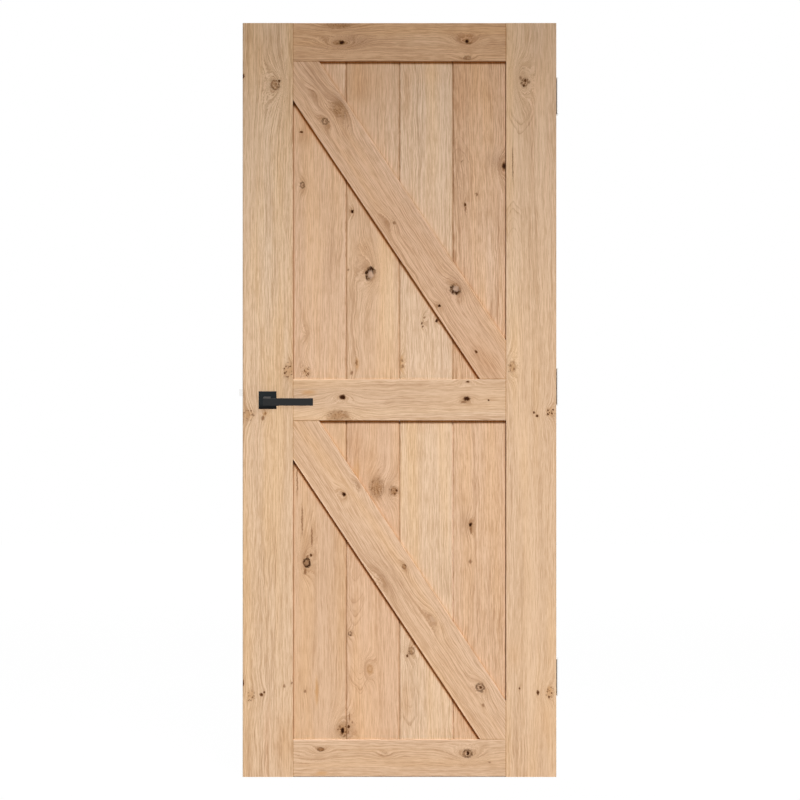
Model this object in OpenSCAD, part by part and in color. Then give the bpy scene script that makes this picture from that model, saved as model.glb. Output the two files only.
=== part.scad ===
// Oak interior door leaf: framed and boarded, braced on both faces, with a lever latch and three butt hinges.
// X runs to the right across the front face, Y towards the back, Z up from the bottom edge. Lengths in mm.

/* [Leaf] */
// Width of the leaf
leaf_w = 880; // [820:5:1000]
// Height of the leaf
leaf_h = 2115; // [1950:5:2300]
// Thickness of the leaf
leaf_t = 40; // [38:1:48]
// Width of each stile
stile_w = 141; // [132:1:170]
// Height of the top rail
top_rail_h = 107; // [90:1:140]
// Height of the middle rail
middle_rail_h = 116; // [90:1:150]
// Height of the middle rail's centre line
middle_rail_z = 1058; // [950:1:1150]
// Height of the bottom rail
bottom_rail_h = 105; // [90:1:200]
// Thickness of the boards
board_t = 24; // [21:1:28]
// Width of the diagonal braces
brace_w = 121; // [80:1:140]

/* [Latch and levers] */
// Height of the levers' axis
lever_z = 1057; // [950:1:1100]
// Distance from the lock edge to the levers' axis
backset = 70; // [60:1:76]
// Reach of a lever from its axis to its tip
lever_reach = 129; // [100:1:150]
// Height of a lever's bar and neck
lever_h = 21; // [18:1:24]
// Drop of a lever's bar below its axis
lever_drop = 5; // [0:0.5:6]
// Depth of a lever's bar from front to back
lever_bar_t = 12; // [9:1:14]
// Distance from the leaf's face to the outer face of a lever's bar
lever_out = 58; // [50:1:66]
// Side of the square roses
rose_w = 50; // [46:1:56]
// Thickness of the roses
rose_t = 9; // [8:0.5:12]
// Projection of the latch bolt from the forend
latch_proj = 11; // [9:0.5:12]

/* [Hinges] */
// Height of a hinge
hinge_h = 102; // [90:1:127]
// Distance from the top of the leaf to the top hinge
hinge_top_gap = 150; // [120:5:220]
// Distance from the bottom of the leaf to the bottom hinge
hinge_bottom_gap = 225; // [180:5:300]
// Radius of the hinge knuckles
knuckle_r = 7; // [6.5:0.25:8]
// Gap between the leaf's edge and the door frame
hinge_gap = 3; // [2:0.5:4]
// Radius of the screw holes in the hinge plates
hinge_hole_r = 2.5; // [2.25:0.25:3]

/* [Hidden] */
$fn = 64;
// How far a cutting body runs past the face it cuts
over = 1;
// Radial clearance of a piece that turns or slides in another
run_gap = 0.3;
// Radial clearance of the hinge pins
pin_fit = 0.05;
// Clearance round screws and dowels in their holes
screw_fit = 0.05;
// Clearance of the metal fittings in their recesses
recess_fit = 0.3;
// Clearance of tongues in their grooves
tongue_fit = 0.15;
// Gap between neighbouring boards
board_gap = 0.4;
// Chamfers: outer edges, edges round the fields, rail ends, board joints, brace edges
outer_arris = 2;
field_arris = 1;
rail_end_arris = 0.8;
board_v = 3;
brace_arris = 1;
// Tongues that the boards and rails put into the frame, and the tongues between boards
frame_tongue_t = 10;
frame_tongue_l = 11;
frame_groove_d = 12;
board_tongue_t = 8;
board_tongue_l = 8;
board_groove_d = 8.5;
board_tongue_end = 2;
// Boards across a field, one node each
board_count = 4;
// Dowels between rails and stiles
dowel_r = 7;
dowel_rail_l = 60;
dowel_wood = 12;
dowel_end_gap = 1;
dowel_offset_share = 0.27;

// Forend and its screws
forend_t = 3;
forend_w = 20;
forend_h = 174;
forend_screw_c = 150;
forend_screw_r = 2;
forend_screw_l = 30;
forend_screw_head_r = 4;
forend_screw_head_h = 2.3;
// Lock case
case_t = 16;
case_wall = 1.5;
case_below = 40;
case_above = 46;
case_behind = 27;
pillar_in = 6;
pillar_r = 4;
cover_screw_r = 1.5;
cover_screw_l = 9;
cover_screw_head_r = 2.7;
cover_screw_head_h = 1.3;
// Latch bolt
latch_up = 21;
latch_head_h = 20;
latch_head_t = 12;
latch_head_in = 15;
latch_nose = 2;
latch_rod_r = 2.5;
tail_h = 12;
tail_t = 6;
tail_lead = 14.5;
notch_h = 7;
notch_room = 3;
hook_w = 4.5;
lug_w = 4;
lug_gap = 0.5;
// Follower
hub_r = 12;
hub_boss_r = 8;
arm_w = 5;
arm_t = 8;
arm_reach = 19.5;
arm_play = 0.7;
// Latch spring
spring_r = 4.4;
spring_wire_r = 0.55;
spring_turns = 8;
spring_end = 0.1;
spring_turn_steps = 16;
spring_sides = 8;

// Spindle and its sockets
spindle_w = 8;
spindle_in = 35;
socket_fit = 0.1;
socket_end = 1;
leaf_spindle_hole_r = 11;
// Levers
lever_neck_w = 20;
lever_boss_r = 9;
lever_boss_in = 1;
lever_rose_gap = 0.8;
lever_arris = 0.8;
grub_r = 2.5;
grub_l = 5;
grub_key_r = 1.4;
grub_key_d = 2.5;
grub_in = 20;
// Roses, their bases and bolts
rose_wall = 1.5;
rose_arris = 0.8;
rose_base_t = 6.5;
rose_bolt_c = 34;
rose_bolt_r = 2;
rose_bolt_head_r = 4;
rose_bolt_head_h = 2.3;
rose_bolt_end = 2;
sleeve_r = 3.8;
sleeve_l = 9;
case_bolt_hole_r = 2.6;

// Hinges
plate_t = 3;
plate_reach = 38;
plate_ear = 2.3;
knuckle_off = 0.5;
pin_r = 4.45;
pin_cap_r = 6;
pin_cap_h = 3;
pin_cap_arris = 1.2;
ring_gap = 2;
ring_t = 1.6;
ring_r = 6.4;
knuckle_count = 5;
hinge_hole_c_y = 18;
frame_hole_share_z = 2 / 3;
door_hole_share_z = 1 / 2;
hinge_csk_r = 4.6;
hinge_csk_h = 2;
hinge_screw_l = 30;

// Shares of a screw head's sizes taken by its cross recess
drive_w_share = 1.1;
drive_slot_share = 0.3;
drive_d_share = 0.75;

// Places that follow from the sizes above
field_w = leaf_w - 2 * stile_w;
field_x = field_w / 2;
upper_z0 = middle_rail_z + middle_rail_h / 2;
upper_z1 = leaf_h - top_rail_h;
lower_z0 = bottom_rail_h;
lower_z1 = middle_rail_z - middle_rail_h / 2;
board_pitch = field_w / board_count;
face_y = leaf_t / 2;
board_y = board_t / 2;
brace_t = face_y - board_y;
groove_t = frame_tongue_t + 2 * tongue_fit;
lock_x = -leaf_w / 2;
lever_x = lock_x + backset;
case_x0 = lock_x + forend_t;
case_x1 = lever_x + case_behind;
case_z0 = lever_z - case_below;
case_z1 = lever_z + case_above;
case_y = case_t / 2;
forend_z = (case_z0 + case_z1) / 2;
dowel_stile_l = stile_w - backset - case_behind - dowel_wood;
latch_z = lever_z + latch_up;
latch_head_x1 = lock_x + latch_head_in;
tail_x0 = lever_x - arm_w / 2 - notch_room - tail_lead;
hook_x = lever_x + arm_w / 2 + arm_play;
lug_x1 = tail_x0 - lug_gap;
lug_x0 = lug_x1 - lug_w;
rose_y = face_y + rose_t;
rose_base_w = rose_w - 2 * rose_wall - 2 * recess_fit;
rose_base_y = face_y + rose_base_t;
neck_y = rose_y + lever_rose_gap;
bar_y1 = face_y + lever_out;
bar_y0 = bar_y1 - lever_bar_t;
spindle_y = face_y + spindle_in;
hinge_x = leaf_w / 2 + hinge_gap / 2;
hinge_y = face_y + knuckle_r + knuckle_off;
top_hinge_z = leaf_h - hinge_top_gap - hinge_h / 2;
bottom_hinge_z = hinge_bottom_gap + hinge_h / 2;
middle_hinge_z = (top_hinge_z + bottom_hinge_z) / 2;
knuckle_l = (hinge_h - (knuckle_count - 1) * ring_gap) / knuckle_count;
plate_edge_y = -knuckle_r - run_gap;
plate_mid_y = (plate_edge_y - plate_reach) / 2;
frame_hole_c_z = hinge_h * frame_hole_share_z;
door_hole_c_z = hinge_h * door_hole_share_z;

// Colours of the preview
oak = [0.82, 0.67, 0.52];
oak_board = [0.85, 0.70, 0.55];
steel = [0.72, 0.72, 0.70];
black = [0.16, 0.16, 0.17];

// A block between two corners
module block(low, high) {
    translate(low)
        cube(high - low);
}

// Round rods along each axis
module rod_x(r, x0, x1, y, z) {
    translate([x0, y, z])
        rotate([0, 90, 0])
            cylinder(h = x1 - x0, r = r);
}

module rod_y(r, y0, y1, x, z) {
    translate([x, y0, z])
        rotate([-90, 0, 0])
            cylinder(h = y1 - y0, r = r);
}

module rod_z(r, z0, z1) {
    translate([0, 0, z0])
        cylinder(h = z1 - z0, r = r);
}

// A flat outline in Y and Z, drawn out along X
module along_x(x0, x1) {
    translate([x0, 0, 0])
        rotate([90, 0, 90])
            linear_extrude(x1 - x0)
                children();
}

// A countersunk screw: head's top at Z = 0, shank downwards
module screw(l, r, head_r, head_h) {
    drive_w = head_r * drive_w_share;
    slot_w = head_r * drive_slot_share;
    drive_d = head_h * drive_d_share;
    difference() {
        rotate_extrude()
            polygon([[0, 0], [head_r, 0], [r, -head_h], [r, r - l], [0, -l]]);
        for (turn = [0, 90])
            rotate([0, 0, turn])
                block([-drive_w / 2, -slot_w / 2, -drive_d], [drive_w / 2, slot_w / 2, over]);
    }
}

// The hole for such a screw
module screw_cut(l, r, head_r, head_h) {
    rotate_extrude()
        polygon([
            [0, over], [head_r + screw_fit, over], [head_r + screw_fit, 0],
            [r + screw_fit, -head_h], [r + screw_fit, -l], [0, -l]
        ]);
}

// The dowels of one rail, and with grow the holes for them
module dowels(z, h, grow, more) {
    for (side = [-1, 1], level = [-1, 1]) {
        x0 = side * field_x - (side > 0 ? dowel_rail_l : dowel_stile_l);
        x1 = side * field_x + (side > 0 ? dowel_stile_l : dowel_rail_l);
        rod_x(dowel_r + grow, x0 - more, x1 + more, 0, z + level * h * dowel_offset_share);
    }
}

module all_dowels(grow, more) {
    dowels(leaf_h - top_rail_h / 2, top_rail_h, grow, more);
    dowels(middle_rail_z, middle_rail_h, grow, more);
    dowels(bottom_rail_h / 2, bottom_rail_h, grow, more);
}

module rail_dowels() {
    color(oak)
        all_dowels(0, 0);
}

// The left stile before its fittings are let in: outer edge at the lock edge, groove towards the field
module stile_blank() {
    x0 = lock_x;
    x1 = lock_x + stile_w;
    linear_extrude(leaf_h)
        polygon([
            [x0 + outer_arris, -face_y], [x1 - field_arris, -face_y], [x1, field_arris - face_y],
            [x1, -groove_t / 2], [x1 - frame_groove_d, -groove_t / 2],
            [x1 - frame_groove_d, groove_t / 2], [x1, groove_t / 2],
            [x1, face_y - field_arris], [x1 - field_arris, face_y], [x0 + outer_arris, face_y],
            [x0, face_y - outer_arris], [x0, outer_arris - face_y]
        ]);
}

// Outline of the forend, drawn out along X
module forend_outline(x0, x1, grow) {
    end_z = forend_h / 2 - forend_w / 2;
    for (side = [-1, 1])
        rod_x(forend_w / 2 + grow, x0, x1, 0, forend_z + side * end_z);
    block(
        [x0, -forend_w / 2 - grow, forend_z - end_z],
        [x1, forend_w / 2 + grow, forend_z + end_z]
    );
}

module at_forend_screws() {
    for (side = [-1, 1])
        translate([lock_x, 0, forend_z + side * forend_screw_c / 2])
            rotate([0, -90, 0])
                children();
}

module at_rose_bolts() {
    for (side = [-1, 1])
        translate([lever_x + side * rose_bolt_c / 2, rose_base_y, lever_z])
            rotate([-90, 0, 0])
                children();
}

module lock_stile() {
    color(oak)
        difference() {
            stile_blank();
            all_dowels(screw_fit, dowel_end_gap);
            forend_outline(lock_x - over, lock_x + forend_t, recess_fit);
            block(
                [lock_x - over, -case_y - recess_fit, case_z0 - recess_fit],
                [case_x1 + recess_fit, case_y + recess_fit, case_z1 + recess_fit]
            );
            rod_y(leaf_spindle_hole_r, -face_y - over, face_y + over, lever_x, lever_z);
            for (side = [-1, 1])
                rod_y(
                    sleeve_r + recess_fit, -face_y - over, face_y + over,
                    lever_x + side * rose_bolt_c / 2, lever_z
                );
            at_forend_screws()
                screw_cut(
                    forend_screw_l + dowel_end_gap, forend_screw_r, forend_screw_head_r, forend_screw_head_h
                );
        }
}

module hinge_stile() {
    color(oak)
        difference() {
            mirror([1, 0, 0])
                stile_blank();
            all_dowels(screw_fit, dowel_end_gap);
            for (z = [top_hinge_z, middle_hinge_z, bottom_hinge_z]) {
                block(
                    [leaf_w / 2 - plate_t, hinge_y - plate_reach - recess_fit, z - hinge_h / 2 - recess_fit],
                    [leaf_w / 2 + over, face_y + over, z + hinge_h / 2 + recess_fit]
                );
                at_hinge_holes(z)
                    screw_cut(hinge_screw_l + dowel_end_gap, hinge_hole_r, hinge_csk_r, hinge_csk_h);
            }
        }
}

// A rail between the stiles: low and high are the grooves' depths, and the arrises of its two edges follow
module rail(z0, h, low, high) {
    low_arris = low > 0 ? field_arris : outer_arris;
    high_arris = high > 0 ? field_arris : outer_arris;
    z1 = z0 + h;
    color(oak)
        difference() {
            union() {
                intersection() {
                    along_x(-field_x, field_x)
                        polygon([
                            [low_arris - face_y, z0], [face_y - low_arris, z0], [face_y, z0 + low_arris],
                            [face_y, z1 - high_arris], [face_y - high_arris, z1],
                            [high_arris - face_y, z1], [-face_y, z1 - high_arris], [-face_y, z0 + low_arris]
                        ]);
                    translate([0, 0, z0])
                        linear_extrude(h)
                            polygon([
                                [rail_end_arris - field_x, -face_y], [field_x - rail_end_arris, -face_y],
                                [field_x, rail_end_arris - face_y], [field_x, face_y - rail_end_arris],
                                [field_x - rail_end_arris, face_y], [rail_end_arris - field_x, face_y],
                                [-field_x, face_y - rail_end_arris], [-field_x, rail_end_arris - face_y]
                            ]);
                }
                block(
                    [-field_x - frame_tongue_l, -frame_tongue_t / 2, z0],
                    [field_x + frame_tongue_l, frame_tongue_t / 2, z1]
                );
            }
            if (low > 0)
                rail_groove(z0 - over, z0 + low);
            if (high > 0)
                rail_groove(z1 - high, z1 + over);
            dowels((z0 + z1) / 2, h, screw_fit, dowel_end_gap);
        }
}

module rail_groove(z0, z1) {
    block(
        [-field_x - frame_tongue_l - over, -groove_t / 2, z0],
        [field_x + frame_tongue_l + over, groove_t / 2, z1]
    );
}

module top_rail() {
    rail(upper_z1, top_rail_h, frame_groove_d, 0);
}

module middle_rail() {
    rail(lower_z1, middle_rail_h, frame_groove_d, frame_groove_d);
}

module bottom_rail() {
    rail(0, bottom_rail_h, 0, frame_groove_d);
}

// One board: number counts from the lock stile, and the end boards' outer tongues go into the stiles
module board(number, z0, z1) {
    first = number == 1;
    last = number == board_count;
    x0 = (number - 1) * board_pitch - field_x + board_gap / 2;
    x1 = number * board_pitch - field_x - board_gap / 2;
    left = x0 - (first ? frame_tongue_l : 0);
    right = x1 + (last ? frame_tongue_l : 0);
    tongue_y = frame_tongue_t / 2;
    color(oak_board) {
        translate([0, 0, z0])
            linear_extrude(z1 - z0)
                difference() {
                    polygon([
                        [x0 + board_v, -board_y], [x1 - board_v, -board_y], [x1, board_v - board_y],
                        [x1, board_y - board_v], [x1 - board_v, board_y], [x0 + board_v, board_y],
                        [x0, board_y - board_v], [x0, board_v - board_y]
                    ]);
                    if (!first)
                        translate([x0 - over, -board_tongue_t / 2 - tongue_fit])
                            square([board_groove_d + over, board_tongue_t + 2 * tongue_fit]);
                }
        block([left, -tongue_y, z1 - over], [right, tongue_y, z1 + frame_tongue_l]);
        block([left, -tongue_y, z0 - frame_tongue_l], [right, tongue_y, z0 + over]);
        if (first)
            block([left, -tongue_y, z0], [x0 + over, tongue_y, z1]);
        if (last)
            block([x1 - over, -tongue_y, z0], [right, tongue_y, z1]);
        else
            block(
                [x1 - over, -board_tongue_t / 2, z0 + board_tongue_end],
                [x1 + board_tongue_l, board_tongue_t / 2, z1 - board_tongue_end]
            );
    }
}

module upper_board(number) {
    board(number, upper_z0, upper_z1);
}

module lower_board(number) {
    board(number, lower_z0, lower_z1);
}

// A brace on the front of a field, from its top left corner to its bottom right one
module brace(z0, z1) {
    field_h = z1 - z0;
    half = norm([field_w, field_h]) / 2 + brace_w;
    color(oak)
        intersection() {
            translate([0, -face_y, (z0 + z1) / 2])
                rotate([0, -atan2(field_w, field_h), 0])
                    translate([0, 0, -half])
                        linear_extrude(2 * half)
                            polygon([
                                [-brace_w / 2, brace_t], [brace_w / 2, brace_t], [brace_w / 2, brace_arris],
                                [brace_w / 2 - brace_arris, 0], [brace_arris - brace_w / 2, 0],
                                [-brace_w / 2, brace_arris]
                            ]);
            block([-field_x, -face_y - over, z0], [field_x, 0, z1]);
        }
}

module front_upper_brace() {
    brace(upper_z0, upper_z1);
}

module front_lower_brace() {
    brace(lower_z0, lower_z1);
}

module back_upper_brace() {
    mirror([0, 1, 0])
        brace(upper_z0, upper_z1);
}

module back_lower_brace() {
    mirror([0, 1, 0])
        brace(lower_z0, lower_z1);
}

// The opening that the latch bolt's head slides in
module latch_opening(x0, x1) {
    y = latch_head_t / 2 + run_gap;
    half = latch_head_h / 2 + run_gap;
    block([x0, -y, latch_z - half], [x1, y, latch_z + half]);
}

module forend() {
    color(steel)
        difference() {
            forend_outline(lock_x, lock_x + forend_t, 0);
            latch_opening(lock_x - over, lock_x + forend_t + over);
            at_forend_screws()
                screw_cut(forend_t + over, forend_screw_r, forend_screw_head_r, forend_screw_head_h);
        }
}

module forend_screws() {
    color(steel)
        at_forend_screws()
            screw(forend_screw_l, forend_screw_r, forend_screw_head_r, forend_screw_head_h);
}

module at_cover_screws() {
    for (x = [case_x0 + pillar_in, case_x1 - pillar_in], z = [case_z0 + pillar_in, case_z1 - pillar_in])
        translate([x, 0, z])
            children();
}

// Holes through the case for the follower and the rose bolts
module case_holes(y0, y1) {
    rod_y(hub_boss_r + run_gap, y0, y1, lever_x, lever_z);
    for (side = [-1, 1])
        rod_y(case_bolt_hole_r, y0, y1, lever_x + side * rose_bolt_c / 2, lever_z);
}

module lock_case() {
    rim_y = case_wall - case_y;
    inner_y = case_y - case_wall;
    tap_end = cover_screw_l + screw_fit;
    color(steel)
        difference() {
            union() {
                difference() {
                    block([case_x0, rim_y, case_z0], [case_x1, case_y, case_z1]);
                    block(
                        [case_x0 + case_wall, rim_y - over, case_z0 + case_wall],
                        [case_x1 - case_wall, inner_y, case_z1 - case_wall]
                    );
                }
                block(
                    [lug_x0, rim_y, latch_z - tail_h / 2],
                    [lug_x1, inner_y + case_wall / 2, latch_z + tail_h / 2]
                );
                at_cover_screws()
                    rod_y(pillar_r, rim_y, inner_y + case_wall / 2, 0, 0);
            }
            latch_opening(case_x0 - over, case_x0 + case_wall + over);
            case_holes(0, case_y + over);
            rod_x(latch_rod_r + run_gap, lug_x0 - over, lug_x1 + over, 0, latch_z);
            block(
                [lug_x0 - over, rim_y - over, latch_z - latch_rod_r - run_gap],
                [lug_x1 + over, 0, latch_z + latch_rod_r + run_gap]
            );
            at_cover_screws()
                rod_y(cover_screw_r + screw_fit, rim_y - over, tap_end - case_y, 0, 0);
        }
}

module lock_cover() {
    color(steel)
        difference() {
            block([case_x0, -case_y, case_z0], [case_x1, case_wall - case_y, case_z1]);
            case_holes(-case_y - over, 0);
            at_cover_screws()
                translate([0, -case_y, 0])
                    rotate([90, 0, 0])
                        screw_cut(case_wall + over, cover_screw_r, cover_screw_head_r, cover_screw_head_h);
        }
}

module cover_screws() {
    color(steel)
        at_cover_screws()
            translate([0, -case_y, 0])
                rotate([90, 0, 0])
                    screw(cover_screw_l, cover_screw_r, cover_screw_head_r, cover_screw_head_h);
}

// Bevelled head, rod through the lug, and a tail whose hook stands in front of the follower's arm
module latch_bolt() {
    head_y = latch_head_t / 2;
    tip_x = lock_x - latch_proj;
    tail_z0 = latch_z - tail_h / 2;
    color(steel) {
        translate([0, 0, latch_z - latch_head_h / 2])
            linear_extrude(latch_head_h)
                polygon([
                    [tip_x, head_y], [tip_x, head_y - latch_nose], [lock_x, -head_y],
                    [latch_head_x1, -head_y], [latch_head_x1, head_y]
                ]);
        rod_x(latch_rod_r, latch_head_x1 - over, tail_x0 + over, 0, latch_z);
        difference() {
            block(
                [tail_x0, -tail_t / 2, tail_z0],
                [hook_x + hook_w, tail_t / 2, tail_z0 + tail_h]
            );
            block(
                [tail_x0 + tail_lead, -tail_t / 2 - over, tail_z0 - over],
                [hook_x, tail_t / 2 + over, tail_z0 + notch_h]
            );
        }
    }
}

// Coil spring round the latch rod, between the head and the lug
module latch_spring() {
    x0 = latch_head_x1 + spring_wire_r + spring_end;
    x1 = lug_x0 - spring_wire_r - spring_end;
    steps = spring_turns * spring_turn_steps;
    points = [
        for (i = [0 : steps], k = [0 : spring_sides - 1])
            let (
                turn = 360 * i / spring_turn_steps,
                side = 360 * k / spring_sides,
                r = spring_r + spring_wire_r * cos(side)
            )
            [
                x0 + (x1 - x0) * i / steps + spring_wire_r * sin(side),
                r * cos(turn),
                latch_z + r * sin(turn)
            ]
    ];
    walls = [
        for (i = [0 : steps - 1], k = [0 : spring_sides - 1])
            let (
                a = i * spring_sides + k,
                b = i * spring_sides + (k + 1) % spring_sides
            )
            [a, b, b + spring_sides, a + spring_sides]
    ];
    first_end = [for (k = [spring_sides - 1 : -1 : 0]) k];
    last_end = [for (k = [0 : spring_sides - 1]) steps * spring_sides + k];
    color(steel)
        polyhedron(points, concat(walls, [first_end, last_end]));
}

module follower() {
    hub_y = case_y - case_wall - run_gap;
    color(steel)
        difference() {
            union() {
                rod_y(hub_r, -hub_y, hub_y, lever_x, lever_z);
                rod_y(hub_boss_r, -case_y, case_y, lever_x, lever_z);
                block(
                    [lever_x - arm_w / 2, -arm_t / 2, lever_z],
                    [lever_x + arm_w / 2, arm_t / 2, lever_z + arm_reach]
                );
            }
            spindle_block(socket_fit, case_y + over);
        }
}

// The square spindle, and with grow the sockets for it
module spindle_block(grow, y) {
    half = spindle_w / 2 + grow;
    block([lever_x - half, -y, lever_z - half], [lever_x + half, y, lever_z + half]);
}

module spindle() {
    color(steel)
        spindle_block(0, spindle_y);
}

// The front lever: round boss in the rose, square neck that slopes down to the flat bar
module lever() {
    half_h = lever_h / 2;
    half_w = lever_neck_w / 2;
    bar_low = -half_h - lever_drop;
    bar_high = half_h - lever_drop;
    color(black)
        difference() {
            union() {
                rod_y(lever_boss_r, -neck_y - over, -face_y - lever_boss_in, lever_x, lever_z);
                intersection() {
                    translate([lever_x, 0, lever_z + bar_low])
                        linear_extrude(lever_h + lever_drop)
                            polygon([
                                [-half_w, -neck_y], [-half_w, lever_arris - bar_y1],
                                [lever_arris - half_w, -bar_y1], [lever_reach - lever_arris, -bar_y1],
                                [lever_reach, lever_arris - bar_y1], [lever_reach, -bar_y0 - lever_arris],
                                [lever_reach - lever_arris, -bar_y0], [half_w, -bar_y0], [half_w, -neck_y]
                            ]);
                    translate([0, 0, lever_z])
                        along_x(lever_x - half_w - over, lever_x + lever_reach + over)
                            polygon([
                                [-neck_y, -half_h], [-neck_y, half_h], [-bar_y0, bar_high],
                                [lever_arris - bar_y1, bar_high], [-bar_y1, bar_high - lever_arris],
                                [-bar_y1, bar_low + lever_arris], [lever_arris - bar_y1, bar_low],
                                [-bar_y0, bar_low]
                            ]);
                }
            }
            intersection() {
                spindle_block(socket_fit, spindle_y + socket_end);
                block(
                    [lever_x - lever_neck_w, -bar_y1, lever_z - lever_h],
                    [lever_x + lever_neck_w, 0, lever_z + lever_h]
                );
            }
            translate([lever_x, -neck_y - grub_in, lever_z + bar_low - over])
                rod_z(grub_r + screw_fit, 0, over - bar_low);
        }
}

module front_lever() {
    lever();
}

module back_lever() {
    mirror([0, 1, 0])
        lever();
}

// Grub screws that hold the levers on the spindle, with a six-sided key socket
module grub_screws() {
    tip_z = lever_z - spindle_w / 2 - socket_fit;
    color(steel)
        for (side = [-1, 1])
            translate([lever_x, side * (neck_y + grub_in), tip_z - grub_l])
                difference() {
                    rod_z(grub_r, 0, grub_l);
                    translate([0, 0, -over])
                        cylinder(h = grub_key_d + over, r = grub_key_r, $fn = 6);
                }
}

// The front rose: a thin square shell over its base
module rose() {
    half = rose_w / 2;
    inner = half - rose_wall;
    color(black)
        translate([lever_x, 0, lever_z])
            difference() {
                intersection() {
                    along_x(-half, half)
                        polygon([
                            [-face_y, -half], [-face_y, half], [rose_arris - rose_y, half],
                            [-rose_y, half - rose_arris], [-rose_y, rose_arris - half],
                            [rose_arris - rose_y, -half]
                        ]);
                    translate([0, 0, -half])
                        linear_extrude(rose_w)
                            polygon([
                                [-half, -face_y], [-half, rose_arris - rose_y], [rose_arris - half, -rose_y],
                                [half - rose_arris, -rose_y], [half, rose_arris - rose_y], [half, -face_y]
                            ]);
                }
                block([-inner, rose_wall - rose_y, -inner], [inner, over - face_y, inner]);
                rod_y(lever_boss_r + run_gap, -rose_y - over, -face_y, 0, 0);
            }
}

module front_rose() {
    rose();
}

module back_rose() {
    mirror([0, 1, 0])
        rose();
}

module rose_base_plate() {
    half = rose_base_w / 2;
    difference() {
        block(
            [lever_x - half, face_y, lever_z - half],
            [lever_x + half, rose_base_y, lever_z + half]
        );
        rod_y(lever_boss_r + run_gap, face_y - over, rose_base_y + over, lever_x, lever_z);
    }
}

// The front base has tapped sleeves that reach into the leaf
module front_rose_base() {
    color(steel)
        difference() {
            union() {
                mirror([0, 1, 0])
                    rose_base_plate();
                for (side = [-1, 1])
                    rod_y(
                        sleeve_r, -face_y - over, sleeve_l - face_y,
                        lever_x + side * rose_bolt_c / 2, lever_z
                    );
            }
            for (side = [-1, 1])
                rod_y(
                    rose_bolt_r + screw_fit, -rose_base_y - over, sleeve_l - face_y + over,
                    lever_x + side * rose_bolt_c / 2, lever_z
                );
        }
}

module back_rose_base() {
    color(steel)
        difference() {
            rose_base_plate();
            at_rose_bolts()
                screw_cut(rose_base_t + over, rose_bolt_r, rose_bolt_head_r, rose_bolt_head_h);
        }
}

module rose_bolts() {
    color(steel)
        at_rose_bolts()
            screw(2 * rose_base_y - rose_bolt_end, rose_bolt_r, rose_bolt_head_r, rose_bolt_head_h);
}

// Places of the screw heads on a hinge's door plate
module at_hinge_holes(z) {
    for (side_y = [-1, 1], side_z = [-1, 1])
        translate([
            leaf_w / 2, hinge_y + plate_mid_y + side_y * hinge_hole_c_y / 2, z + side_z * door_hole_c_z / 2
        ])
            rotate([0, 90, 0])
                children();
}

// Half a hinge about its own axis, with the plate on the left: knuckles lists the knuckles that it carries,
// and hole_c_z is the height between its screw holes
module hinge_half(knuckles, hole_c_z) {
    plate_x = -hinge_gap / 2;
    difference() {
        union() {
            block([plate_x - plate_t, -plate_reach, -hinge_h / 2], [plate_x, plate_edge_y, hinge_h / 2]);
            for (k = knuckles) {
                z0 = k * (knuckle_l + ring_gap) - hinge_h / 2;
                rod_z(knuckle_r, z0, z0 + knuckle_l);
                block(
                    [plate_x - plate_t, plate_edge_y - over, z0],
                    [plate_x, plate_edge_y + plate_ear, z0 + knuckle_l]
                );
            }
        }
        rod_z(pin_r + pin_fit, -hinge_h / 2 - over, hinge_h / 2 + over);
        for (side_y = [-1, 1], side_z = [-1, 1])
            translate([plate_x, plate_mid_y + side_y * hinge_hole_c_y / 2, side_z * hole_c_z / 2])
                rotate([0, 90, 0])
                    rotate_extrude()
                        polygon([
                            [0, over], [hinge_csk_r + screw_fit, over], [hinge_csk_r + screw_fit, 0],
                            [hinge_hole_r, -hinge_csk_h], [hinge_hole_r, -plate_t - over], [0, -plate_t - over]
                        ]);
    }
}

module hinge_door_plate(z) {
    color(steel)
        translate([hinge_x, hinge_y, z])
            hinge_half([1, 3], door_hole_c_z);
}

module hinge_frame_plate(z) {
    color(steel)
        translate([hinge_x, hinge_y, z])
            mirror([1, 0, 0])
                hinge_half([0, 2, 4], frame_hole_c_z);
}

module hinge_pin(z) {
    end_z = hinge_h / 2;
    cap_z = end_z + pin_cap_h;
    color(steel)
        translate([hinge_x, hinge_y, z])
            rotate_extrude()
                polygon([
                    [0, -cap_z], [pin_cap_r - pin_cap_arris, -cap_z], [pin_cap_r, pin_cap_arris - cap_z],
                    [pin_cap_r, -end_z], [pin_r, -end_z], [pin_r, end_z], [pin_cap_r, end_z],
                    [pin_cap_r, cap_z - pin_cap_arris], [pin_cap_r - pin_cap_arris, cap_z], [0, cap_z]
                ]);
}

module hinge_rings(z) {
    color(steel)
        translate([hinge_x, hinge_y, z])
            for (k = [1 : knuckle_count - 1]) {
                mid_z = k * (knuckle_l + ring_gap) - ring_gap / 2 - hinge_h / 2;
                difference() {
                    rod_z(ring_r, mid_z - ring_t / 2, mid_z + ring_t / 2);
                    rod_z(pin_r + pin_fit, mid_z - ring_t, mid_z + ring_t);
                }
            }
}

module hinge_screws() {
    color(steel)
        for (z = [top_hinge_z, middle_hinge_z, bottom_hinge_z])
            at_hinge_holes(z)
                screw(hinge_screw_l, hinge_hole_r - screw_fit, hinge_csk_r, hinge_csk_h);
}

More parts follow.
